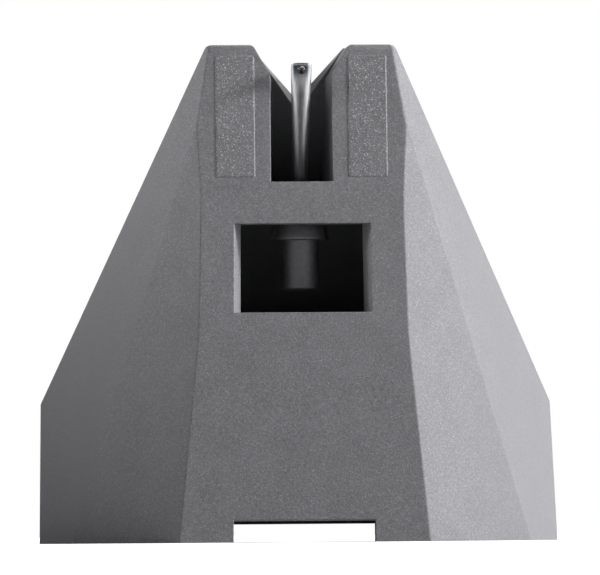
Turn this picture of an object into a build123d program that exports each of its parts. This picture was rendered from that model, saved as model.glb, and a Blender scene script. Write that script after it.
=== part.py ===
import os
from math import cos, radians, sin, tan

from build123d import *

os.makedirs("parts", exist_ok=True)

# Sizes in millimetres. X runs across, Y away from the underside, Z from the open rear rim to the nose.
# A setback or a depth is counted in Y from the proudest line of the underside, a drop in Z from the nose.
rim_width = 18.0
waist_width = 17.88
nose_width = 6.41
height = 16.96
waist_height = 4.88
wall = 0.85

# Underside: three flats with soft bends between them
belly_drop = 10.0
brow_drop = 5.33
rim_setback = 0.15
brow_setback = 0.16
nose_setback = 0.66
soft_bend = 22.0

# Far side, which is the cartridge's front
rim_depth = 10.8
waist_depth = 10.5
nose_depth = 3.4

# Flank facets: their ridge runs from the rim up to where it meets the underside
face_width_at_rim = 8.54
face_width_at_brow = 6.88
ridge_width_at_rim = 15.82
ridge_depth_at_rim = 2.875
ridge_depth_at_nose = 0.81
flank_depth_at_rim = 4.98

# Far flank facets, between the side walls and the far panel
far_flank_depth_at_rim = 8.2
far_flank_depth_at_waist = 7.9
far_flank_depth_at_nose = 2.6
far_panel_width_at_rim = 10.4
far_panel_width_at_nose = 4.3

edge_radius = 0.12
nose_corner_radius = 0.25

# Stylus channel between the prongs, open to the underside and at the nose
slot_width = 2.17
slot_drop = 4.73
slot_flare_drop = 1.04
slot_draft = 3.0
nose_gap = 3.36
gap_corner_radius = 0.25

# Sighting notch, cut square through the far wall
sight_gap = 2.93
sight_drop = 1.62
sight_fall = 0.49

# Raised pads on the prongs
pad_width = 1.32
pad_spacing = 4.51
pad_drop = 0.39
pad_height = 4.18
pad_rise = 0.12
pad_corner = 0.08
pad_edge = 0.04

# Window in the underside wall, and the notches in the rear edge that line up with each other
window_width = 4.73
window_inner_width = 4.23
window_height = 3.03
window_below_bulkhead = 0.31
notch_width = 4.83
notch_height = 0.72
notch_bevel = 0.06
far_notch_width = 6.4
far_notch_height = 0.63

# Bulkhead and the hollows beside the channel
bulkhead_thickness = 1.1
pocket_drop = 2.8

# Suspension tube, pressed into the bulkhead
tube_depth = 2.3
tube_diameter = 1.26
tube_wall = 0.1
tube_length = 3.1
tube_shoulder = 0.49
tube_rim_radius = 0.08
collar_diameter = 1.98
collar_length = 0.8
collar_front_diameter = 1.34
collar_edge = 0.06
exit_diameter = 1.12
exit_flare = 25.5

# Cantilever, tilted out of the tube towards the underside
pivot_recess = 0.39
tilt = 23.0
cantilever_diameter = 0.5
cantilever_wall = 0.05
cantilever_behind_pivot = 0.3
cantilever_length = 5.34
flare_width = 0.6
ramp_width = 0.68
ramp_thickness = 0.44
ramp_length = 0.22
crush_length = 0.42
tip_width = 0.7
tip_thickness = 0.14
bore_ahead_of_pivot = 0.9

# Magnet, ring, wire and plug inside the tube
magnet_behind_pivot = 0.72
magnet_engagement = 0.34
glue_gap = 0.01
ring_thickness = 0.36
ring_clearance = 0.01
wire_diameter = 0.06
plug_length = 0.4
plug_recess = 0.08

# Stylus
stylus_from_end = 0.2
shank_diameter = 0.16
shank_head = 0.05
shank_length = 0.46
shank_bevel = 0.03
diamond_length = 0.16
diamond_tip_radius = 0.018
bead_width = 0.3

# Places that follow from the sizes
slot_bottom = height - slot_drop
bulkhead_rear = slot_bottom - bulkhead_thickness
tube_front = slot_bottom - tube_shoulder
pivot_height = tube_front - pivot_recess
face_y = -rim_depth / 2
tube_y = face_y + tube_depth
tube_bore = tube_diameter - 2 * tube_wall
beyond = rim_width
skirt = 2 * wall
heart = Vector(0, 0, waist_height)


def at_depth(x, depth, z):
    return Vector(x, face_y + depth, z)


def facet(first, second, third):
    normal = (second - first).cross(third - first)
    if normal.dot(heart - first) > 0:
        normal = -normal
    return Plane(origin=first, x_dir=second - first, z_dir=normal)


def mirrored(corner):
    return Vector(-corner.X, corner.Y, corner.Z)


# Corners of one flank, from the rim to the nose
face_at_rim = at_depth(face_width_at_rim / 2, rim_setback, 0)
ridge_at_rim = at_depth(ridge_width_at_rim / 2, ridge_depth_at_rim, 0)
face_at_brow = at_depth(face_width_at_brow / 2, brow_setback, height - brow_drop)
ridge_at_nose = at_depth(nose_width / 2, ridge_depth_at_nose, height)
flank_at_rim = at_depth(rim_width / 2, flank_depth_at_rim, 0)
far_flank_at_rim = at_depth(rim_width / 2, far_flank_depth_at_rim, 0)
far_panel_at_rim = at_depth(far_panel_width_at_rim / 2, rim_depth, 0)
far_flank_at_waist = at_depth(waist_width / 2, far_flank_depth_at_waist, waist_height)
side_at_waist = at_depth(waist_width / 2, 0, waist_height)
far_flank_at_nose = at_depth(nose_width / 2, far_flank_depth_at_nose, height)
far_panel_at_nose = at_depth(far_panel_width_at_nose / 2, nose_depth, height)
side_at_nose = at_depth(nose_width / 2, 0, height)

one_flank = [
    (face_at_rim, ridge_at_rim, face_at_brow),
    (ridge_at_rim, flank_at_rim, ridge_at_nose),
    (flank_at_rim, far_flank_at_rim, side_at_waist),
    (side_at_waist, far_flank_at_waist, side_at_nose),
    (far_flank_at_rim, far_panel_at_rim, far_flank_at_waist),
    (far_flank_at_waist, far_flank_at_nose, far_panel_at_nose),
]
facets = [facet(*corners) for corners in one_flank]
facets += [facet(*(mirrored(corner) for corner in corners)) for corners in one_flank]
far_panel = facet(
    far_panel_at_nose,
    mirrored(far_panel_at_nose),
    at_depth(0, waist_depth, waist_height),
)


# The faceted form, its side profile drawn across and its flanks cut by facets, all moved in by inset
def faceted_form(inset):
    belly_height = height - belly_drop
    brow_height = height - brow_drop
    rim_slope = rim_setback / belly_height
    far_slope = (rim_depth - waist_depth) / waist_height
    with BuildPart() as form:
        with BuildSketch(Plane.YZ) as side_profile:
            with BuildLine():
                Polyline(
                    (face_y + rim_setback + rim_slope * skirt, -skirt),
                    (face_y, belly_height),
                    (face_y + brow_setback, brow_height),
                    (face_y + nose_setback, height),
                    (face_y + nose_depth, height),
                    (face_y + waist_depth, waist_height),
                    (face_y + rim_depth + far_slope * skirt, -skirt),
                    close=True,
                )
            make_face()
            bends = side_profile.vertices().group_by(Axis.X)[0] + side_profile.vertices().filter_by(
                lambda corner: abs(corner.Y - brow_height) < wall / 2
            )
            fillet(bends, soft_bend)
            if inset:
                offset(amount=-inset, kind=Kind.INTERSECTION, mode=Mode.REPLACE)
        extrude(amount=beyond, both=True)
        for plane in facets:
            split(bisect_by=plane.offset(-inset), keep=Keep.BOTTOM)
    return form.part


# Planes and lengths for the cuts and pads
nose_rake = (nose_setback - brow_setback) / brow_drop
nose_flat = Plane(origin=at_depth(0, nose_setback, height), x_dir=(1, 0, 0), z_dir=(0, -1, nose_rake))
pad_middle = -(pad_drop + pad_height / 2) / nose_flat.y_dir.Z
pad_length = pad_height / nose_flat.y_dir.Z
pad_root = edge_radius
floor_rise = (tube_depth + slot_width / 2) * tan(radians(slot_draft))
exit_length = slot_bottom + floor_rise - tube_front
channel_gap_at_floor = nose_gap - 2 * tan(radians(slot_draft)) * (nose_depth - wall)

outer_form = faceted_form(0)
inner_form = faceted_form(wall)

# Inner hollow: the mouth that takes the cartridge body, and a pocket each side of the channel
with BuildPart() as hollow:
    add(inner_form)
    split(bisect_by=Plane.XY.offset(height - pocket_drop), keep=Keep.BOTTOM)
    with Locations((0, 0, bulkhead_rear + height / 2)):
        Box(slot_width + 2 * wall, beyond, height, mode=Mode.SUBTRACT)

# Stylus channel, drafted from the underside down to the inside of the far wall
into_face = Plane(origin=(0, face_y, 0), x_dir=(-1, 0, 0), z_dir=(0, 1, 0))
with BuildPart() as channel:
    for depth in (0, rim_depth):
        draw_in = depth * tan(radians(slot_draft))
        gap = nose_gap / 2 - draw_in
        side = slot_width / 2 - draw_in
        with BuildSketch(into_face.offset(depth)) as channel_outline:
            with BuildLine():
                Polyline(
                    (0, slot_bottom + draw_in),
                    (side, slot_bottom + draw_in),
                    (side, height - slot_flare_drop),
                    (gap, height),
                    (nose_width / 2, height),
                    (nose_width / 2, height + wall),
                    (0, height + wall),
                    close=True,
                )
            make_face()
            fillet(channel_outline.vertices().filter_by(lambda corner: corner.X == gap), gap_corner_radius)
            mirror(about=Plane.YZ)
    loft(ruled=True)
    split(bisect_by=far_panel.offset(-wall), keep=Keep.BOTTOM)

# Sighting notch through the far wall: its floor falls towards the inside, its top corners stay level
down_far_panel = Plane(
    origin=at_depth(0, nose_depth, height),
    x_dir=(1, 0, 0),
    z_dir=far_panel.z_dir,
)
fall = -down_far_panel.y_dir.Z
with BuildPart() as sight:
    for layer, gap in ((-1.1 * wall, channel_gap_at_floor), (wall, sight_gap)):
        top = layer * down_far_panel.z_dir.Z / fall
        depth = (sight_drop - sight_fall * layer / wall) / fall
        with BuildSketch(down_far_panel.offset(layer)):
            with BuildLine():
                Polyline((0, top + depth), (gap, top - depth), (-gap, top - depth), close=True)
            make_face()
    loft(ruled=True)

# Window, narrower inside than outside
splay = (window_width - window_inner_width) / 2 / wall
window_top = bulkhead_rear - window_below_bulkhead
with BuildPart() as window:
    for depth in (-wall / 2, 2 * wall):
        with BuildSketch(into_face.offset(depth)):
            with Locations((0, window_top - window_height / 2)):
                Rectangle(window_width - 2 * splay * depth, window_height)
    loft()

with BuildPart() as housing:
    add(outer_form)
    split(bisect_by=Plane.XY, keep=Keep.TOP)
    fillet(housing.faces().sort_by(Axis.Z)[-1].edges(), nose_corner_radius)
    rounded_top = height - 4 * nose_corner_radius
    ridges = housing.edges().filter_by(lambda ridge: ridge.bounding_box().min.Z < rounded_top)
    rim_edges = ridges.filter_by_position(Axis.Z, -edge_radius / 2, edge_radius / 2)
    bend_lines = ridges.filter_by(Axis.X).filter_by_position(Axis.Y, face_y - wall, face_y + wall)
    fillet(ridges - rim_edges - bend_lines, edge_radius)
    add(hollow.part, mode=Mode.SUBTRACT)
    add(channel.part, mode=Mode.SUBTRACT)
    add(sight.part, mode=Mode.SUBTRACT)
    add(window.part, mode=Mode.SUBTRACT)

    # Bore for the tube, its shoulder, and the flared exit that the cantilever swings in
    with Locations((0, tube_y, tube_front)):
        Cylinder(
            tube_diameter / 2,
            tube_front - bulkhead_rear,
            align=(Align.CENTER, Align.CENTER, Align.MAX),
            mode=Mode.SUBTRACT,
        )
        Cone(
            exit_diameter / 2,
            exit_diameter / 2 + exit_length * tan(radians(exit_flare)),
            exit_length,
            align=(Align.CENTER, Align.CENTER, Align.MIN),
            mode=Mode.SUBTRACT,
        )

    # Notches in the rear edge, near and far, and a small bevel along the near one's top
    with Locations((0, face_y, 0)):
        Box(notch_width, 4 * wall, 2 * notch_height, mode=Mode.SUBTRACT)
    with Locations((0, face_y + rim_depth, 0)):
        Box(far_notch_width, 4 * wall, 2 * far_notch_height, mode=Mode.SUBTRACT)
    notch_top = housing.edges().filter_by(Axis.X).filter_by(
        lambda edge: abs(edge.center().Z - notch_height) < notch_bevel
        and edge.center().Y < face_y + wall / 2
    )
    chamfer(notch_top, notch_bevel)

    # Pads on the prongs, lying on the nose flat of the underside
    with BuildSketch(nose_flat.offset(-pad_root)) as pads:
        with Locations((0, pad_middle)):
            with GridLocations(pad_spacing, 0, 2, 1):
                RectangleRounded(pad_width, pad_length, pad_corner)
    extrude(amount=pad_root + pad_rise)
    pad_top = nose_flat.offset(pad_rise)
    pad_outline = housing.edges().filter_by(
        lambda edge: abs(pad_top.to_local_coords(edge.center()).Z) < pad_edge / 2
    )
    fillet(pad_outline, pad_edge)
housing.part.label = "housing"
export_step(housing.part, "parts/housing.step")

# Suspension tube and its conical collar, turned in one piece
tube_rear = tube_front - tube_length
collar_rear = bulkhead_rear - collar_length
tube_radius = tube_diameter / 2
tube_axis = Axis((0, tube_y, 0), (0, 0, 1))
with BuildPart() as suspension_tube:
    with BuildSketch(Plane.XZ.offset(-tube_y)) as tube_section:
        with BuildLine():
            Polyline(
                (tube_bore / 2, tube_rear),
                (tube_radius, tube_rear),
                (tube_radius, collar_rear),
                (collar_diameter / 2, collar_rear),
                (collar_diameter / 2, collar_rear + collar_edge),
                (collar_front_diameter / 2, bulkhead_rear),
                (tube_radius, bulkhead_rear),
                (tube_radius, tube_front),
                (tube_bore / 2, tube_front),
                close=True,
            )
        make_face()
        free_rim = tube_section.vertices().group_by(Axis.Y)[0].sort_by(Axis.X)[-1]
        fillet(free_rim, tube_rim_radius)
    revolve(axis=tube_axis)
suspension_tube.part.label = "suspension_tube"
export_step(suspension_tube.part, "parts/suspension_tube.step")

# Cantilever on its own tilted axis: a round tube that widens a little, and drops by a short ramp
# to its crushed tip
pivot = Vector(0, tube_y, pivot_height)
lever = Plane(origin=pivot, x_dir=(1, 0, 0), z_dir=(0, -sin(radians(tilt)), cos(radians(tilt))))
crush_start = cantilever_length - crush_length
ramp_start = crush_start - ramp_length
flare_middle = (bore_ahead_of_pivot + ramp_start) / 2
stylus_place = lever.from_local_coords(Vector(0, 0, cantilever_length - stylus_from_end))
stylus_axis = Axis(stylus_place, (0, -1, 0))
facing_record = Plane(origin=stylus_place, x_dir=(1, 0, 0), z_dir=(0, -1, 0))
with BuildPart() as cantilever:
    with BuildSketch(lever.offset(-cantilever_behind_pivot)):
        Circle(cantilever_diameter / 2)
    extrude(amount=cantilever_behind_pivot + bore_ahead_of_pivot)
    for place, width, thickness in (
        (bore_ahead_of_pivot, cantilever_diameter, cantilever_diameter),
        (flare_middle, flare_width, cantilever_diameter),
        (ramp_start, ramp_width, ramp_thickness),
    ):
        with BuildSketch(lever.offset(place)):
            Ellipse(width / 2, thickness / 2)
    loft()
    for place, width, thickness in (
        (ramp_start, ramp_width, ramp_thickness),
        (crush_start, tip_width, tip_thickness),
    ):
        with BuildSketch(lever.offset(place)):
            Ellipse(width / 2, thickness / 2)
    loft(ruled=True)
    with BuildSketch(lever.offset(crush_start)):
        Ellipse(tip_width / 2, tip_thickness / 2)
    extrude(amount=crush_length)
    with BuildSketch(lever.offset(-cantilever_behind_pivot)):
        Circle(cantilever_diameter / 2 - cantilever_wall)
    extrude(amount=cantilever_behind_pivot + bore_ahead_of_pivot, mode=Mode.SUBTRACT)
    with BuildSketch(facing_record):
        Circle(shank_diameter / 2)
    extrude(amount=tip_width, both=True, mode=Mode.SUBTRACT)
cantilever.part.label = "cantilever"
export_step(cantilever.part, "parts/cantilever.step")

# Magnet rod, glued in the rear end of the cantilever
with BuildPart() as magnet:
    with BuildSketch(lever.offset(-magnet_behind_pivot)):
        Circle(cantilever_diameter / 2 - cantilever_wall - glue_gap)
    extrude(amount=magnet_behind_pivot - cantilever_behind_pivot + magnet_engagement)
magnet.part.label = "magnet"
export_step(magnet.part, "parts/magnet.step")

# Elastomer ring that the cantilever pivots in
with BuildPart() as damper_ring:
    with Locations(pivot):
        Cylinder(tube_bore / 2 - ring_clearance, ring_thickness)
    with BuildSketch(lever):
        Circle(cantilever_diameter / 2 + ring_clearance)
    extrude(amount=2 * ring_thickness, both=True, mode=Mode.SUBTRACT)
damper_ring.part.label = "damper_ring"
export_step(damper_ring.part, "parts/damper_ring.step")

# Tie wire, straight from the magnet's rear end to the plug
plug_rear = tube_rear + plug_recess
wire_front = lever.from_local_coords(Vector(0, 0, -magnet_behind_pivot))
wire_rear = Vector(0, tube_y, plug_rear)
wire_run = wire_front - wire_rear
with BuildPart() as tie_wire:
    with BuildSketch(Plane(origin=wire_rear - wire_run / 4, x_dir=(1, 0, 0), z_dir=wire_run)):
        Circle(wire_diameter / 2)
    extrude(amount=1.5 * wire_run.length)
    split(bisect_by=lever.offset(-magnet_behind_pivot), keep=Keep.BOTTOM)
    split(bisect_by=Plane.XY.offset(plug_rear), keep=Keep.TOP)
tie_wire.part.label = "tie_wire"
export_step(tie_wire.part, "parts/tie_wire.step")

# Plug that holds the wire, a little inside the tube's free end
with BuildPart() as wire_anchor:
    with Locations((0, tube_y, plug_rear)):
        Cylinder(tube_bore / 2, plug_length, align=(Align.CENTER, Align.CENTER, Align.MIN))
    add(tie_wire.part, mode=Mode.SUBTRACT)
wire_anchor.part.label = "wire_anchor"
export_step(wire_anchor.part, "parts/wire_anchor.step")

# Shank through the crushed tip, square to the record
tip_half = tip_thickness / 2 / cos(radians(tilt))
with BuildPart() as tip_shank:
    with BuildSketch(facing_record.offset(-tip_half - shank_head)):
        Circle(shank_diameter / 2)
    extrude(amount=shank_head + 2 * tip_half + shank_length)
    chamfer(tip_shank.faces().sort_by(Axis.Y)[0].edges(), shank_bevel)
tip_shank.part.label = "tip_shank"
export_step(tip_shank.part, "parts/tip_shank.step")

# Diamond cone with a rounded point, seated on the shank
shank_end = tip_half + shank_length
diamond_radius = shank_diameter / 2 - shank_bevel
with BuildPart() as diamond_tip:
    with BuildSketch(facing_record.offset(shank_end)):
        Circle(diamond_radius)
    with BuildSketch(facing_record.offset(shank_end + diamond_length)):
        Circle(diamond_tip_radius)
    loft(ruled=True)
    fillet(diamond_tip.faces().sort_by(Axis.Y)[0].edges(), diamond_tip_radius * 0.8)
diamond_tip.part.label = "diamond_tip"
export_step(diamond_tip.part, "parts/diamond_tip.step")

# Bead of adhesive round the shank, on the side that faces the record
record_side = Plane(origin=stylus_place, x_dir=(1, 0, 0), z_dir=-lever.y_dir)
with BuildPart() as tip_adhesive:
    with Locations(record_side.offset(tip_thickness / 2)):
        Sphere(bead_width / 2)
    split(bisect_by=record_side, keep=Keep.TOP)
    add(cantilever.part, mode=Mode.SUBTRACT)
    add(tip_shank.part, mode=Mode.SUBTRACT)
tip_adhesive.part.label = "tip_adhesive"
export_step(tip_adhesive.part, "parts/tip_adhesive.step")
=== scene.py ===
from math import cos, radians, sin

import bpy
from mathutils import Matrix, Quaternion, Vector


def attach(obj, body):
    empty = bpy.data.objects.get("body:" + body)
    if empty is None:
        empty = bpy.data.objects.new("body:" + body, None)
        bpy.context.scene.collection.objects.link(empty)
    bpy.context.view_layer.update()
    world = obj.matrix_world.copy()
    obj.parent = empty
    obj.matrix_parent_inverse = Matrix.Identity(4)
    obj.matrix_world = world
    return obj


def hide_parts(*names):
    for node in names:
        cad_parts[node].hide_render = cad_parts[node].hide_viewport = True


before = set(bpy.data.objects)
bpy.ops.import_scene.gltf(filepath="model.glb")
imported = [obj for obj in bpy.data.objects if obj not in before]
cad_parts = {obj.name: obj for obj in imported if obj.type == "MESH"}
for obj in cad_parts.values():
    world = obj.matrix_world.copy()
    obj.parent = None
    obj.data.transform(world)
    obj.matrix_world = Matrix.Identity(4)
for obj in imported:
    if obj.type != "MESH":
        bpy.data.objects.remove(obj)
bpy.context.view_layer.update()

# Camera: a long macro lens 200 mm off, level with the rear rim and a little to the left.
# It looks up at the middle of the unit, and leans by half a degree.
camera_distance = 0.2
camera_turn = radians(-2.44)
camera_height = 0.0003
camera_lean = radians(-0.45)
lens_length = 344.6
film_width = 36
nearest_seen = 0.01
aim = Vector((0.00012, 0, 0.00886))
eye = Vector((sin(camera_turn), -cos(camera_turn), 0)) * camera_distance
eye.z = camera_height
bpy.ops.object.select_all(action="DESELECT")
bpy.ops.object.camera_add(location=eye)
camera = bpy.context.object
camera.name = "camera"
camera.rotation_mode = "QUATERNION"
look = (aim - eye).to_track_quat("-Z", "Y")
camera.rotation_quaternion = look @ Quaternion((0, 0, 1), camera_lean)
camera.data.sensor_width = film_width
camera.data.lens = lens_length
camera.data.clip_start = nearest_seen
bpy.context.scene.camera = camera
bpy.context.scene.view_settings.view_transform = "Standard"

# World: dim even light from all round, and plain white where the camera or a reflection sees it,
# or where it is seen through the diamond.
ambient_level = 0.005
pure_white = (1, 1, 1, 1)


def add_node(tree, kind, settings=(), **values):
    """Adds a node with its settings, and values for its sockets, where _ stands for a space."""
    node = tree.nodes.new("ShaderNode" + kind)
    for setting, value in dict(settings).items():
        setattr(node, setting, value)
    for socket, value in values.items():
        node.inputs[socket.replace("_", " ")].default_value = value
    return node


def combine(tree, operation, first, second):
    """Works out one sum from two sockets, or from a socket and a number."""
    node = add_node(tree, "Math", {"operation": operation})
    for socket, source in zip(node.inputs, (first, second)):
        if isinstance(source, (int, float)):
            socket.default_value = source
        else:
            tree.links.new(source, socket)
    return node.outputs[0]


world = bpy.data.worlds.new("studio")
bpy.context.scene.world = world
world.use_nodes = True
tree = world.node_tree
tree.nodes.clear()
rays = add_node(tree, "LightPath")
seen = combine(tree, "MAXIMUM", rays.outputs["Is Camera Ray"], rays.outputs["Is Glossy Ray"])
seen = combine(tree, "MAXIMUM", seen, rays.outputs["Is Transmission Ray"])
ambient = add_node(tree, "Background", Color=pure_white, Strength=ambient_level)
backdrop = add_node(tree, "Background", Color=pure_white, Strength=1.0)
either = add_node(tree, "MixShader")
output = add_node(tree, "OutputWorld")
tree.links.new(seen, either.inputs["Fac"])
tree.links.new(ambient.outputs[0], either.inputs[1])
tree.links.new(backdrop.outputs[0], either.inputs[2])
tree.links.new(either.outputs[0], output.inputs["Surface"])

# Lamps: a small key high on the right and a wide one lower, a weak fill on the left, a broad one
# behind, and a small spot whose soft edge falls off down the left flank.
# None shines straight in from the front, so the slot and the window stay dark.
middle = Vector((0, 0, 0.008))
flank_top = Vector((-0.004, 0, 0.0165))
spot_cone = radians(13.5)
spot_radius = 0.01


def way_to(azimuth, elevation):
    """The way out from the unit, in degrees round from the front and up from the floor."""
    turn, rise = radians(azimuth), radians(elevation)
    return Vector((sin(turn) * cos(rise), -cos(turn) * cos(rise), sin(rise)))


def lamp_at(name, kind, aim_point, azimuth, elevation, distance, watts):
    way = way_to(azimuth, elevation)
    bpy.ops.object.light_add(type=kind, location=aim_point + way * distance)
    lamp = bpy.context.object
    lamp.name = name
    lamp.rotation_mode = "QUATERNION"
    lamp.rotation_quaternion = (-way).to_track_quat("-Z", "Y")
    lamp.data.energy = watts
    return lamp


def softbox(name, azimuth, elevation, distance, side, watts):
    lamp = lamp_at(name, "AREA", middle, azimuth, elevation, distance, watts)
    lamp.data.size = side


softbox("key_high", azimuth=78, elevation=21, distance=0.35, side=0.045, watts=1.25)
softbox("key_right", azimuth=72, elevation=9, distance=0.35, side=0.2, watts=0.9)
softbox("left_fill", azimuth=-70, elevation=8, distance=0.45, side=0.25, watts=0.29)
softbox("behind", azimuth=165, elevation=30, distance=0.45, side=0.35, watts=1.2)
spot = lamp_at(
    "left_spot", "SPOT", flank_top, azimuth=-84, elevation=10, distance=0.12, watts=0.42
)
spot.data.spot_size = spot_cone
spot.data.spot_blend = 1
spot.data.shadow_soft_size = spot_radius

# Cards that only reflections show, all black. Two stand behind the camera, two lie on the floor
# in front and make the dark stripe down polished metal, one stands beyond the unit, and a low
# one at the left shades the lower flank.
card_black = (0.012, 0.012, 0.016, 1)
upright = radians(90)
lying, standing = (0, 0, 0), (upright, 0, 0)
behind_camera = -0.26
just_off_floor = 0.0002
low_left_azimuth = -125
low_left_distance = 0.06
low_left_height = 0.012
low_left = way_to(low_left_azimuth, 0) * low_left_distance + Vector((0, 0, low_left_height))
facing_left = (upright, 0, radians(low_left_azimuth))
card_paint = bpy.data.materials.new("black_card")
card_paint.use_nodes = True
shader = card_paint.node_tree.nodes["Principled BSDF"]
shader.inputs["Base Color"].default_value = card_black
shader.inputs["Roughness"].default_value = 1


def reflected_card(name, place, turn, width, height):
    bpy.ops.object.select_all(action="DESELECT")
    bpy.ops.mesh.primitive_plane_add(size=1, location=place, rotation=turn)
    card = bpy.context.object
    card.name = name
    card.scale = (width, height, 1)
    bpy.ops.object.transform_apply(location=True, rotation=True, scale=True)
    card.data.materials.append(card_paint)
    card.visible_camera = False
    card.visible_diffuse = False
    card.visible_transmission = False
    card.visible_shadow = False


right_place, left_place = (0.083, behind_camera, 0.2), (-0.19, behind_camera, 0.2)
floor_place, close_place = (-0.002, -0.034, just_off_floor), (-0.001, -0.013, just_off_floor)
beyond_place = (0, 0.12, 0.03)
reflected_card("card_behind_right", right_place, standing, width=0.335, height=0.5)
reflected_card("card_behind_left", left_place, standing, width=0.12, height=0.5)
reflected_card("card_on_floor", floor_place, lying, width=0.04, height=0.034)
reflected_card("card_close_by", close_place, lying, width=0.014, height=0.008)
reflected_card("card_beyond", beyond_place, standing, width=0.1, height=0.12)
reflected_card("card_low_left", low_left, facing_left, width=0.07, height=0.025)

# Floor: a wide matt sheet that the unit stands on. Where it is seen it comes up to white, less so
# close to the unit, so that its shadow stays, and not at all under it, so that the shell is dark.
# Reflections see it white only from clear_reach out, which keeps the foot of the unit dark.
floor_half = 1.5
floor_matt = (0.75, 0.75, 0.75, 1)
near_reach, far_reach = 0.03, 0.12
lift_near, lift_far = 0.8, 1.0
unit_reach, clear_reach = 0.009, 0.016
under_unit = (0.0072, 0.0042)
under_fade = (0.95, 1.15)


def spread(tree, source, low, high, to_low=0.0, to_high=1.0):
    """Spreads what runs from low to high over another range, and stops it at both ends."""
    node = add_node(tree, "MapRange", From_Min=low, From_Max=high, To_Min=to_low, To_Max=to_high)
    tree.links.new(source, node.inputs["Value"])
    return node.outputs["Result"]


def scaled(tree, place, scale):
    """The same place with each axis scaled, to squash or draw out what is made from it."""
    node = add_node(tree, "Mapping", Scale=scale)
    tree.links.new(place, node.inputs["Vector"])
    return node.outputs[0]


def length_of(tree, vector):
    node = add_node(tree, "VectorMath", {"operation": "LENGTH"})
    tree.links.new(vector, node.inputs[0])
    return node.outputs["Value"]


bpy.ops.object.select_all(action="DESELECT")
bpy.ops.mesh.primitive_plane_add(size=2 * floor_half, location=(0, 0, 0))
floor = bpy.context.object
floor.name = "floor"
floor_paint = bpy.data.materials.new("floor_paint")
floor_paint.use_nodes = True
tree = floor_paint.node_tree
tree.nodes.clear()
place = add_node(tree, "TexCoord").outputs["Object"]
reach = length_of(tree, place)
plan_reach = length_of(tree, scaled(tree, place, (1 / under_unit[0], 1 / under_unit[1], 0)))
lift_level = spread(tree, reach, near_reach, far_reach, lift_near, lift_far)
lift_level = combine(tree, "MULTIPLY", lift_level, spread(tree, plan_reach, *under_fade))
rays = add_node(tree, "LightPath")
clear_of_unit = spread(tree, reach, unit_reach, clear_reach)
glossy = combine(tree, "MULTIPLY", rays.outputs["Is Glossy Ray"], clear_of_unit)
seen = combine(tree, "MAXIMUM", rays.outputs["Is Camera Ray"], glossy)
matt = add_node(tree, "BsdfDiffuse", Color=floor_matt)
lift = add_node(tree, "Emission", Color=pure_white)
both = add_node(tree, "AddShader")
output = add_node(tree, "OutputMaterial")
tree.links.new(combine(tree, "MULTIPLY", seen, lift_level), lift.inputs["Strength"])
tree.links.new(matt.outputs[0], both.inputs[0])
tree.links.new(lift.outputs[0], both.inputs[1])
tree.links.new(both.outputs[0], output.inputs["Surface"])
floor.data.materials.append(floor_paint)

# Housing: one injection moulding in mid grey plastic with fine metallic flake. It is finely
# grained, crisper in front, and coarser on the two pads, where the flakes glitter.
# Its own solid is shown, merged, with the pads let down to the height that they have in life.
# The rounded edges are painted paler along their length, a painted highlight where light would
# catch them.
face_height, face_depth, face_slope = 0.01163, 0.00524, 0.0938
face_line = face_depth + face_height * face_slope
pads_above = 0.012
pad_edge = 0.00007
pad_let_down = 0.000095
pad_step = 0.00001
merge_within = 1e-6
smooth_below = radians(30)
dull_resin = (0.17, 0.169, 0.18)
pale_resin = (0.272, 0.27, 0.284)
flake_and_highlight_grey = (0.85, 0.85, 0.87)
resin_shine = 0.25
resin_rough = (0.5, 0.64)
noise_range = (0.3, 0.7)
grain_per_metre, grain_detail, grain_roughness = 13000, 1.5, 0.6
cloud_per_metre, cloud_detail = 900, 2.0
flake_per_metre = 30000
bright_flakes = (0.74, 1.0)
flake_fall = 1.6
flake_dot = (0.65, 0.3)
flake_off_pad = 0.35
grain_part, flake_part, cloud_part = 0.55, 0.25, 0.2
tone_middle, tone_range = 0.5, (-0.2, 0.2)
near_depth, far_depth = -0.0044, -0.0022
far_crispness = 0.35
edge_round_radius = 0.00005
edge_highlight_turn = (0.97, 0.8)
edge_highlight_grain, edge_highlight_share = (0.42, 0.6), (0.1, 0.45)
pad_coarseness = 2.4
grain_relief = 0.000007


def face_gap(point):
    """How far a point stands proud of the sloped front face that carries the pads."""
    return point.z * face_slope - face_line - point.y


def fresh_material(name, metallic):
    """A new material, with its nodes, its shader and the place on the object."""
    material = bpy.data.materials.new(name)
    material.use_nodes = True
    tree = material.node_tree
    shader = tree.nodes["Principled BSDF"]
    shader.inputs["Metallic"].default_value = metallic
    return material, tree, shader, add_node(tree, "TexCoord").outputs["Object"]


def noise_on(tree, place, per_metre, detail, roughness=0.5):
    """A cloudy pattern with so many lumps to the metre, mostly within noise_range."""
    noise = add_node(tree, "TexNoise", Scale=per_metre, Detail=detail, Roughness=roughness)
    tree.links.new(place, noise.inputs["Vector"])
    return noise.outputs["Fac"]


def blend_colours(tree, share, first, second):
    """Blends two colours, each a tuple or a socket, by a share from 0 to 1."""
    node = add_node(tree, "Mix", {"data_type": "RGBA"})
    tree.links.new(share, node.inputs[0])
    for socket, source in ((node.inputs[6], first), (node.inputs[7], second)):
        if isinstance(source, tuple):
            socket.default_value = (*source, 1)
        else:
            tree.links.new(source, socket)
    return node.outputs[2]


def raise_grain(tree, shader, height, distance):
    """Raises a pattern on the surface by a distance in metres."""
    bump = add_node(tree, "Bump", Distance=distance)
    tree.links.new(height, bump.inputs["Height"])
    tree.links.new(bump.outputs[0], shader.inputs["Normal"])
    return bump


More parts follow.
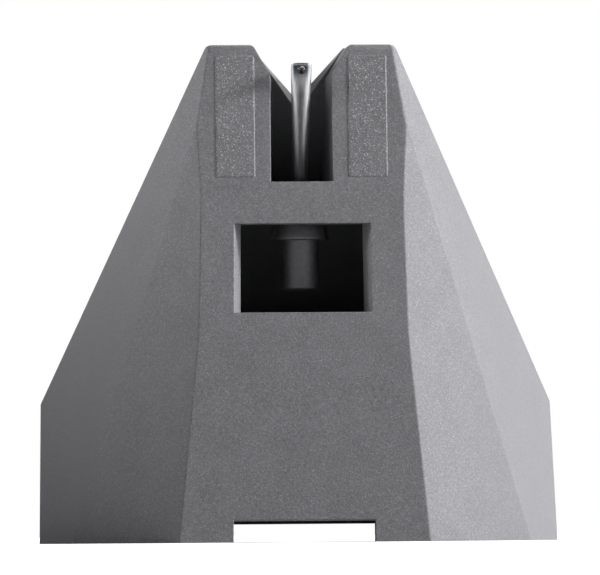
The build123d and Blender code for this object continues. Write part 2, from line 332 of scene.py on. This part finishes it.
bpy.ops.object.select_all(action="DESELECT")
moulding = bpy.data.objects.new("moulding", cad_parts["housing"].data.copy())
bpy.context.collection.objects.link(moulding)
moulding.select_set(True)
bpy.context.view_layer.objects.active = moulding
bpy.ops.mesh.customdata_custom_splitnormals_clear()
bpy.ops.object.mode_set(mode="EDIT")
bpy.ops.mesh.select_mode(type="VERT")
bpy.ops.mesh.select_all(action="DESELECT")
bpy.ops.object.mode_set(mode="OBJECT")
for corner in moulding.data.vertices:
    corner.select = corner.co.z > pads_above and face_gap(corner.co) > pad_edge
bpy.ops.object.mode_set(mode="EDIT")
bpy.ops.transform.translate(value=(0, pad_let_down, -pad_let_down * face_slope))
bpy.ops.mesh.select_all(action="SELECT")
bpy.ops.mesh.remove_doubles(threshold=merge_within)
bpy.ops.mesh.dissolve_degenerate(threshold=merge_within)
bpy.ops.object.mode_set(mode="OBJECT")
bpy.ops.object.shade_smooth_by_angle(angle=smooth_below)
flat_shading = moulding.modifiers.new("flat_shading", "WEIGHTED_NORMAL")
flat_shading.keep_sharp = True
bpy.ops.object.modifier_apply(modifier=flat_shading.name)
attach(moulding, "housing")
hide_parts("housing")

plastic, tree, shader, place = fresh_material("flaked_grey_moulding", metallic=0)
shader.inputs["Specular IOR Level"].default_value = resin_shine
apart = add_node(tree, "SeparateXYZ")
tree.links.new(place, apart.inputs[0])
proud = combine(tree, "MULTIPLY", apart.outputs["Z"], face_slope)
proud = combine(tree, "ADD", proud, -face_line)
proud = combine(tree, "SUBTRACT", proud, apart.outputs["Y"])
on_pad = spread(tree, proud, pad_step, 2 * pad_step)
crispness = spread(tree, apart.outputs["Y"], near_depth, far_depth, 1.0, far_crispness)
grain = noise_on(tree, place, grain_per_metre, grain_detail, grain_roughness)
cloud = noise_on(tree, place, cloud_per_metre, cloud_detail)
flakes = add_node(tree, "TexVoronoi", Scale=flake_per_metre, Randomness=1.0)
tree.links.new(place, flakes.inputs["Vector"])
lot = add_node(tree, "SeparateColor")
tree.links.new(flakes.outputs["Color"], lot.inputs[0])

tone = combine(tree, "MULTIPLY", grain, grain_part)
tone = combine(tree, "ADD", tone, combine(tree, "MULTIPLY", lot.outputs["Green"], flake_part))
tone = combine(tree, "ADD", tone, combine(tree, "MULTIPLY", cloud, cloud_part))
tone = combine(tree, "MULTIPLY", combine(tree, "SUBTRACT", tone, tone_middle), crispness)
colour = blend_colours(tree, spread(tree, tone, *tone_range), dull_resin, pale_resin)

bright = combine(tree, "POWER", spread(tree, lot.outputs["Red"], *bright_flakes), flake_fall)
dot = spread(tree, flakes.outputs["Distance"], *flake_dot)
glitter = combine(tree, "MULTIPLY", bright, dot)
glitter = combine(tree, "MULTIPLY", glitter, spread(tree, on_pad, 0, 1, flake_off_pad, 1.0))
glitter = combine(tree, "MULTIPLY", glitter, crispness)
colour = blend_colours(tree, glitter, colour, flake_and_highlight_grey)

# Painted highlight: the rounded edges are painted paler, unevenly with the grain, where light
# would catch them.
soft_edges = add_node(tree, "Bevel", Radius=edge_round_radius)
turned = add_node(tree, "VectorMath", {"operation": "DOT_PRODUCT"})
tree.links.new(soft_edges.outputs[0], turned.inputs[0])
tree.links.new(add_node(tree, "NewGeometry").outputs["Normal"], turned.inputs[1])
painted_edge_highlight = spread(tree, turned.outputs["Value"], *edge_highlight_turn)
painted_edge_highlight = combine(tree, "MULTIPLY", painted_edge_highlight, spread(tree, grain, *edge_highlight_grain, *edge_highlight_share))
colour = blend_colours(tree, painted_edge_highlight, colour, flake_and_highlight_grey)
tree.links.new(colour, shader.inputs["Base Color"])

tree.links.new(spread(tree, grain, *noise_range, *resin_rough), shader.inputs["Roughness"])
relief = combine(tree, "MULTIPLY", grain, spread(tree, on_pad, 0, 1, 1.0, pad_coarseness))
relief = combine(tree, "MULTIPLY", relief, crispness)
grained = raise_grain(tree, shader, relief, grain_relief)
tree.links.new(soft_edges.outputs[0], grained.inputs["Normal"])
moulding.data.materials.clear()
moulding.data.materials.append(plastic)

# Suspension tube: a thin sleeve with a conical collar, turned from bar in dark metal and pressed
# in the bulkhead from the rear. Its free end is open and plugs into the cartridge body.
# The section gives the radius and height of each turned edge, from the bore round to the outside.
tube_y = -0.0031
tube_sides = 72
tube_bevel = 0.000012
tube_section = [
    (0.00053, 0.01174),
    (0.00053, 0.00868),
    (0.00056, 0.00864),
    (0.00059, 0.00864),
    (0.00063, 0.00869),
    (0.00063, 0.01033),
    (0.00096, 0.01033),
    (0.00099, 0.01036),
    (0.00099, 0.01041),
    (0.00074, 0.01113),
    (0.00063, 0.01113),
    (0.00063, 0.01174),
]
tube_dark, tube_pale = (0.19, 0.19, 0.198), (0.26, 0.26, 0.272)
tube_rough = (0.58, 0.7)
tube_per_metre, tube_detail = 6000, 2.0
turning_marks = (900, 900, 30000)
turning_relief = 0.0000008


def draw_on(rise, wider, thicker, centre):
    """In edit mode, draws what is selected on along Z, and widens or narrows its new end."""
    bpy.ops.mesh.extrude_region_move(TRANSFORM_OT_translate={"value": (0, 0, rise)})
    bpy.ops.transform.resize(value=(wider, thicker, 1), center_override=centre)


def drawn_ring(name, sides, y, section):
    """Draws a ring on along Z through each radius and height of its section, in metres."""
    bpy.ops.object.select_all(action="DESELECT")
    radius, z = section[0]
    bpy.ops.mesh.primitive_circle_add(vertices=sides, radius=radius, location=(0, y, z))
    piece = bpy.context.object
    piece.name = name
    bpy.ops.object.mode_set(mode="EDIT")
    bpy.ops.mesh.select_mode(type="VERT")
    bpy.ops.mesh.select_all(action="SELECT")
    for next_radius, next_z in section[1:]:
        ratio = next_radius / radius
        draw_on(next_z - z, ratio, ratio, (0, y, next_z))
        radius, z = next_radius, next_z
    return piece


def finish_piece(piece, bevel, slot, body, *nodes, crease=30):
    """Leaves edit mode, rounds the sharp edges, puts the place in the mesh and seats the piece."""
    bpy.ops.mesh.select_all(action="SELECT")
    bpy.ops.mesh.remove_doubles(threshold=1e-7)
    bpy.ops.mesh.normals_make_consistent(inside=False)
    bpy.ops.object.mode_set(mode="OBJECT")
    if bevel:
        rounding = piece.modifiers.new("rounding", "BEVEL")
        rounding.width = bevel
        rounding.segments = 2
        rounding.limit_method = "ANGLE"
        rounding.angle_limit = radians(crease)
        bpy.ops.object.modifier_apply(modifier=rounding.name)
    bpy.ops.object.transform_apply(location=True, rotation=True, scale=True)
    bpy.ops.object.shade_smooth_by_angle(angle=radians(crease))
    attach(piece, body)
    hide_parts(*nodes)


def mottle(tree, shader, pattern, dark, pale, rough, share=noise_range):
    """Lets the colour and the roughness wander with one fine pattern."""
    colour = blend_colours(tree, spread(tree, pattern, *share), dark, pale)
    tree.links.new(colour, shader.inputs["Base Color"])
    tree.links.new(spread(tree, pattern, *noise_range, *rough), shader.inputs["Roughness"])


sleeve = drawn_ring("tube_sleeve", tube_sides, tube_y, tube_section + tube_section[:1])
finish_piece(sleeve, tube_bevel, "dark_metal", "housing", "suspension_tube")
dark_metal, tree, shader, place = fresh_material("dark_turned_metal", metallic=1)
tarnish = noise_on(tree, place, tube_per_metre, tube_detail)
mottle(tree, shader, tarnish, tube_dark, tube_pale, tube_rough)
marks = noise_on(tree, scaled(tree, place, turning_marks), 1.0, tube_detail)
raise_grain(tree, shader, marks, turning_relief)
sleeve.data.materials.append(dark_metal)

# Cantilever: a thin aluminium tube, drawn and polished, round in its ring and wider ahead.
# The last millimetre is pressed flat for the stylus, and its squared end shows the closed bore.
# The middle of the flat is painted dark blue grey, a painted reflection.
# Each station gives the distance from the pivot, the width and the thickness.
pivot = Vector((0, tube_y, 0.01135))
tilt = radians(23)
lever_rear = -0.0003
lever_sides = 64
bore_depth = 0.0012
bore_share = 0.9
tube_round = 0.00025
lever_wall = 0.00005
lever_stations = [
    (0.0018, 0.00055, 0.0005),
    (0.0028, 0.0006, 0.0005),
    (0.0038, 0.00064, 0.000485),
    (0.0042, 0.00066, 0.00046),
    (0.0045, 0.000675, 0.00042),
    (0.0047, 0.000685, 0.00037),
    (0.00486, 0.00069, 0.00031),
    (0.00498, 0.000695, 0.00026),
    (0.0051, 0.0007, 0.00022),
    (0.00522, 0.0007, 0.000195),
    (0.00532, 0.0007, 0.000185),
    (0.00534, 0.000685, 0.00017),
]
end_gap = 0.00003
square_on = 0.9
metal_dull, metal_bright = (0.38, 0.38, 0.395), (0.56, 0.56, 0.58)
metal_rough = (0.3, 0.42)
dulling_per_metre, dulling_detail = 3500, 2.0
drawing_lines, drawing_detail = (26000, 26000, 900), 3.0
drawing_relief = 0.0000015
reflection_start, reflection_end = 0.0156, 0.01595
reflection_middle = -0.00002
reflection_half, reflection_fade = 0.00027, 0.00005
painted_reflection_grey = (0.15, 0.165, 0.19)


def pick(piece, inside):
    """In edit mode, selects the faces whose middle and normal pass the test."""
    bpy.ops.mesh.select_mode(type="FACE")
    bpy.ops.mesh.select_all(action="DESELECT")
    bpy.ops.object.mode_set(mode="OBJECT")
    for face in piece.data.polygons:
        face.select = inside(face.center, face.normal)
    bpy.ops.object.mode_set(mode="EDIT")


bpy.ops.object.select_all(action="DESELECT")
bpy.ops.mesh.primitive_cylinder_add(
    vertices=lever_sides, radius=tube_round, depth=bore_depth, location=(0, 0, 0)
)
lever = bpy.context.object
lever.name = "cantilever_tube"
lever.location = (0, 0, lever_rear + bore_depth / 2)
bpy.ops.object.transform_apply(location=True, rotation=True, scale=True)
bpy.ops.object.mode_set(mode="EDIT")
pick(lever, lambda middle, normal: normal.z < -square_on)
bpy.ops.mesh.inset(thickness=lever_wall)
bpy.ops.mesh.extrude_region_move(
    TRANSFORM_OT_translate={"value": (0, 0, bore_share * bore_depth)}
)
along, across, through = lever_rear + bore_depth, 2 * tube_round, 2 * tube_round
pick(lever, lambda middle, normal: normal.z > square_on and middle.z > along - merge_within)
for station, wide, thick in lever_stations:
    draw_on(station - along, wide / across, thick / through, (0, 0, station))
    along, across, through = station, wide, thick
bpy.ops.mesh.inset(thickness=end_gap)
bpy.ops.mesh.extrude_region_move(TRANSFORM_OT_translate={"value": (0, 0, -2 * end_gap)})
lever.rotation_euler = (tilt, 0, 0)
lever.location = pivot
finish_piece(lever, 0, "bright_aluminium", "stylus", "cantilever", crease=40)

polished, tree, shader, place = fresh_material("polished_aluminium", metallic=1)
turn_back = add_node(tree, "Mapping", Rotation=(-tilt, 0, 0))
tree.links.new(place, turn_back.inputs["Vector"])
drawn_out = scaled(tree, turn_back.outputs[0], drawing_lines)
streaks = noise_on(tree, drawn_out, 1.0, drawing_detail)
dulling = noise_on(tree, place, dulling_per_metre, dulling_detail)
colour = blend_colours(tree, spread(tree, streaks, *noise_range), metal_dull, metal_bright)
apart = add_node(tree, "SeparateXYZ")
tree.links.new(place, apart.inputs[0])
# Painted reflection: a dark blue grey strip down the middle of the pressed flat.
off_middle = combine(tree, "SUBTRACT", apart.outputs["X"], reflection_middle)
off_middle = combine(tree, "ABSOLUTE", off_middle, 0.0)
painted_reflection_strip = combine(
    tree,
    "MULTIPLY",
    spread(tree, apart.outputs["Z"], reflection_start, reflection_end),
    spread(tree, off_middle, reflection_half, reflection_half - reflection_fade),
)
colour = blend_colours(tree, painted_reflection_strip, colour, painted_reflection_grey)
tree.links.new(colour, shader.inputs["Base Color"])
tree.links.new(spread(tree, dulling, *noise_range, *metal_rough), shader.inputs["Roughness"])
raise_grain(tree, shader, streaks, drawing_relief)
lever.data.materials.append(polished)

# Pin: a short ground metal pin, set through the flat tip and square to the record.
# It carries the diamond on its front end, which is coned down to the diamond's foot.
stylus_along = 0.00514
plate_half = 0.00007
stylus_place = pivot + Vector((0, -sin(tilt), cos(tilt))) * stylus_along
plate_reach = plate_half / cos(tilt)
pin_stub, pin_length = 0.00005, 0.00046
pin_back = plate_reach + pin_stub
pin_front = plate_reach + pin_length
pin_sides = 32
pin_round, pin_round_back, pin_round_front = 0.00008, 0.00007, 0.00005
pin_chamfer, pin_cone = 0.00001, 0.00003
pin_section = [
    (pin_round_back, -pin_back),
    (pin_round, -pin_back + pin_chamfer),
    (pin_round, pin_front - pin_cone),
    (pin_round_front, pin_front),
]
pin_dark, pin_pale = (0.05, 0.042, 0.036), (0.12, 0.1, 0.088)
pin_rough = (0.4, 0.55)
pin_per_metre, pin_detail = 22000, 2.0
pin_relief = 0.000001
pin = drawn_ring("stylus_pin", pin_sides, 0, pin_section)
bpy.ops.mesh.edge_face_add()
bpy.ops.mesh.select_all(action="DESELECT")
bpy.ops.mesh.select_mode(type="EDGE")
bpy.ops.mesh.select_non_manifold()
bpy.ops.mesh.edge_face_add()
pin.rotation_euler = (radians(90), 0, 0)
pin.location = stylus_place + Vector((0, pin_back, 0))
finish_piece(pin, 0, "shank_metal", "stylus", "tip_shank")
pin_metal, tree, shader, place = fresh_material("ground_pin_metal", metallic=1)
grinding = noise_on(tree, place, pin_per_metre, pin_detail)
mottle(tree, shader, grinding, pin_dark, pin_pale, pin_rough)
raise_grain(tree, shader, grinding, pin_relief)
pin.data.materials.append(pin_metal)

# Diamond: a small dark stone bonded to the pin's end, round at its foot.
# It is ground to four facets that meet in a rounded point.
diamond_sides = 16
diamond_radius = 0.00005
diamond_foot = 0.00002
diamond_steps = [
    (0.00005, 0.000042),
    (0.00011, 0.000026),
    (0.00014, 0.000018),
    (0.000154, 0.00001),
    (0.00016, 0.000004),
]
facet_lean = radians(72)
facet_out, facet_height = 0.000036, 0.00005
stone_dark, stone_pale = (0.03, 0.018, 0.011), (0.12, 0.085, 0.055)
stone_share, stone_rough = (0.35, 0.65), (0.15, 0.3)
stone_per_metre, stone_detail = 30000, 1.0
diamond_ior = 2.4
stone_clearness = 0.35
bpy.ops.object.select_all(action="DESELECT")
bpy.ops.mesh.primitive_cylinder_add(
    vertices=diamond_sides,
    radius=diamond_radius,
    depth=diamond_foot,
    location=(0, 0, diamond_foot / 2),
)
diamond = bpy.context.object
diamond.name = "diamond_point"
bpy.ops.object.transform_apply(location=True, rotation=True, scale=True)
bpy.ops.object.mode_set(mode="EDIT")
pick(diamond, lambda middle, normal: normal.z > square_on)
height, radius = diamond_foot, diamond_radius
for next_height, next_radius in diamond_steps:
    ratio = next_radius / radius
    draw_on(next_height - height, ratio, ratio, (0, 0, next_height))
    height, radius = next_height, next_radius
for quarter in range(4):
    turn = radians(90 * quarter)
    bpy.ops.mesh.select_all(action="SELECT")
    bpy.ops.mesh.bisect(
        plane_co=(facet_out * cos(turn), facet_out * sin(turn), facet_height),
        plane_no=(cos(turn) * sin(facet_lean), sin(turn) * sin(facet_lean), cos(facet_lean)),
        use_fill=True,
        clear_outer=True,
        threshold=1e-9,
    )
diamond.rotation_euler = (radians(90), 0, 0)
diamond.location = stylus_place + Vector((0, -pin_front, 0))
finish_piece(diamond, 0, "diamond", "stylus", "diamond_tip", crease=15)
stone, tree, shader, place = fresh_material("brown_diamond", metallic=0)
inner_cloud = noise_on(tree, place, stone_per_metre, stone_detail)
mottle(tree, shader, inner_cloud, stone_dark, stone_pale, stone_rough, stone_share)
shader.inputs["IOR"].default_value = diamond_ior
shader.inputs["Transmission Weight"].default_value = stone_clearness
diamond.data.materials.append(stone)

# Adhesive: one drop of dark brown resin run round the pin and set hard, uneven and glossy.
# It wets the flat tip, so it is widest at its foot.
bead_half = 0.00016
bead_rise = 0.00013
bead_longer = 1.05
bead_foot = 0.00002
bead_waviness = 0.000024
resin_dark, resin_pale = (0.003, 0.0025, 0.0025), (0.03, 0.018, 0.01)
bead_share, bead_rough = (0.4, 0.75), (0.1, 0.3)
bead_per_metre, bead_detail = 16000, 3.0
bead_relief = 0.00001
bpy.ops.object.select_all(action="DESELECT")
bpy.ops.mesh.primitive_uv_sphere_add(
    segments=10, ring_count=8, radius=bead_half, location=(0, 0, 0)
)
bead = bpy.context.object
bead.name = "adhesive_bead"
bpy.ops.object.mode_set(mode="EDIT")
bpy.ops.mesh.select_all(action="SELECT")
bpy.ops.transform.resize(
    value=(1, bead_longer, bead_rise / bead_half), center_override=(0, 0, 0)
)
bpy.ops.mesh.bisect(
    plane_co=(0, 0, bead_foot),
    plane_no=(0, 0, -1),
    use_fill=True,
    clear_outer=True,
    threshold=1e-9,
)
bpy.ops.mesh.select_all(action="SELECT")
bpy.ops.transform.vertex_random(offset=bead_waviness, seed=7)
bead.rotation_euler = (radians(90) + tilt, 0, 0)
bead.location = stylus_place + Vector((0, -cos(tilt), -sin(tilt))) * plate_half
bpy.ops.object.mode_set(mode="OBJECT")
soften = bead.modifiers.new("soften", "SUBSURF")
soften.levels = 1
soften.render_levels = 1
bpy.ops.object.modifier_apply(modifier=soften.name)
bpy.ops.object.mode_set(mode="EDIT")
finish_piece(bead, 0, "dark_adhesive", "stylus", "tip_adhesive", crease=60)
resin, tree, shader, place = fresh_material("dark_brown_adhesive", metallic=0)
specks = noise_on(tree, place, bead_per_metre, bead_detail)
mottle(tree, shader, specks, resin_dark, resin_pale, bead_rough, bead_share)
raise_grain(tree, shader, specks, bead_relief)
bead.data.materials.append(resin)

# Inner pieces, held in the tube: a ground magnet in the lever's rear end, the soft ring that it
# swings in, a drawn steel wire that holds it back, and a turned brass plug that holds the wire.
# Each keeps its solid as modelled, and gets the finish of its own material.
inner_detail = 3.0


def inner_finish(node, name, metallic, per_metre, dark, pale, rough, relief):
    material, tree, shader, place = fresh_material(name, metallic)
    specks = noise_on(tree, place, per_metre, inner_detail)
    mottle(tree, shader, specks, dark, pale, rough)
    raise_grain(tree, shader, specks, relief)
    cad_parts[node].material_slots[0].material = material


inner_finish(
    "magnet", "ground_magnet_alloy", 1, per_metre=15000,
    dark=(0.24, 0.24, 0.25), pale=(0.36, 0.36, 0.37), rough=(0.35, 0.5), relief=2e-6,
)
inner_finish(
    "damper_ring", "black_elastomer", 0, per_metre=12000,
    dark=(0.012, 0.012, 0.012), pale=(0.03, 0.03, 0.03), rough=(0.6, 0.85), relief=6e-6,
)
inner_finish(
    "tie_wire", "drawn_steel_wire", 1, per_metre=30000,
    dark=(0.42, 0.42, 0.42), pale=(0.58, 0.58, 0.58), rough=(0.2, 0.35), relief=1e-6,
)
inner_finish(
    "wire_anchor", "turned_brass", 1, per_metre=14000,
    dark=(0.48, 0.36, 0.15), pale=(0.62, 0.48, 0.22), rough=(0.25, 0.4), relief=2e-6,
)
